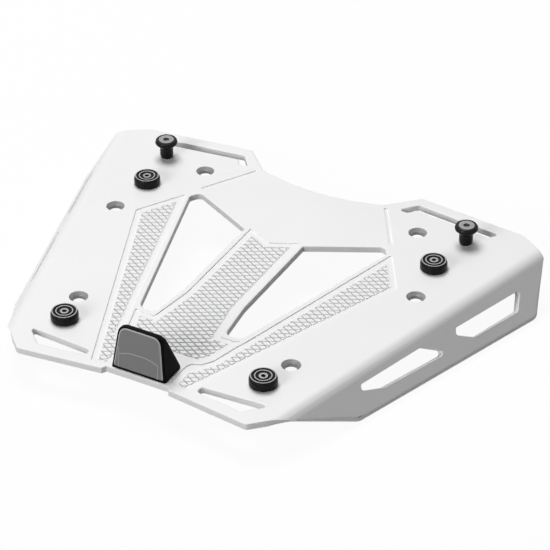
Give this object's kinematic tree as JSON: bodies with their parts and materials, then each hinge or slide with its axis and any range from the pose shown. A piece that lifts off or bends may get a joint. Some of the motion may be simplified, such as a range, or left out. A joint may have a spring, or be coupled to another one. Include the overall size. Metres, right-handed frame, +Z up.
{
  "type": "top case mounting plate",
  "caption": "Folded aluminium plate for a motorbike top case, with splayed side flanges, big windows, mushroom studs, rubber pads and a latch block.",
  "frame": {"origin": "midway between the two locating studs, on the plate's flat top face", "axes": "+Z up, square to the top face; +Y from the latch block towards the studs; +X to the right when the latch block is in front"},
  "size_m": [0.3886, 0.3071, 0.0701],
  "materials": {
    "plate_aluminium": "satin bead-blasted, clear anodised",
    "pad_rubber": "smooth moulded",
    "stud_black": "semi-gloss black coat",
    "pad_screw_black": "black oxide",
    "stud_screw_steel": "turned, dull zinc",
    "zinc_steel": "zinc plated",
    "latch_plastic": "fine moulded grain",
    "latch_face_plastic": "satin"
  },
  "bodies": {
    "root": {"mounting_plate": "plate_aluminium", "front_right_pad": "pad_rubber", "front_right_pad_screw": "pad_screw_black", "front_left_pad": "pad_rubber", "front_left_pad_screw": "pad_screw_black", "rear_right_pad": "pad_rubber", "rear_right_pad_screw": "pad_screw_black", "rear_left_pad": "pad_rubber", "rear_left_pad_screw": "pad_screw_black", "right_stud": "stud_black", "right_stud_screw": "stud_screw_steel", "right_stud_washer": "zinc_steel", "right_stud_nut": "zinc_steel", "left_stud": "stud_black", "left_stud_screw": "stud_screw_steel", "left_stud_washer": "zinc_steel", "left_stud_nut": "zinc_steel", "latch_block": "latch_plastic", "latch_face": "latch_face_plastic", "latch_screw_right": "zinc_steel", "latch_screw_left": "zinc_steel"}
  },
  "joints": []
}
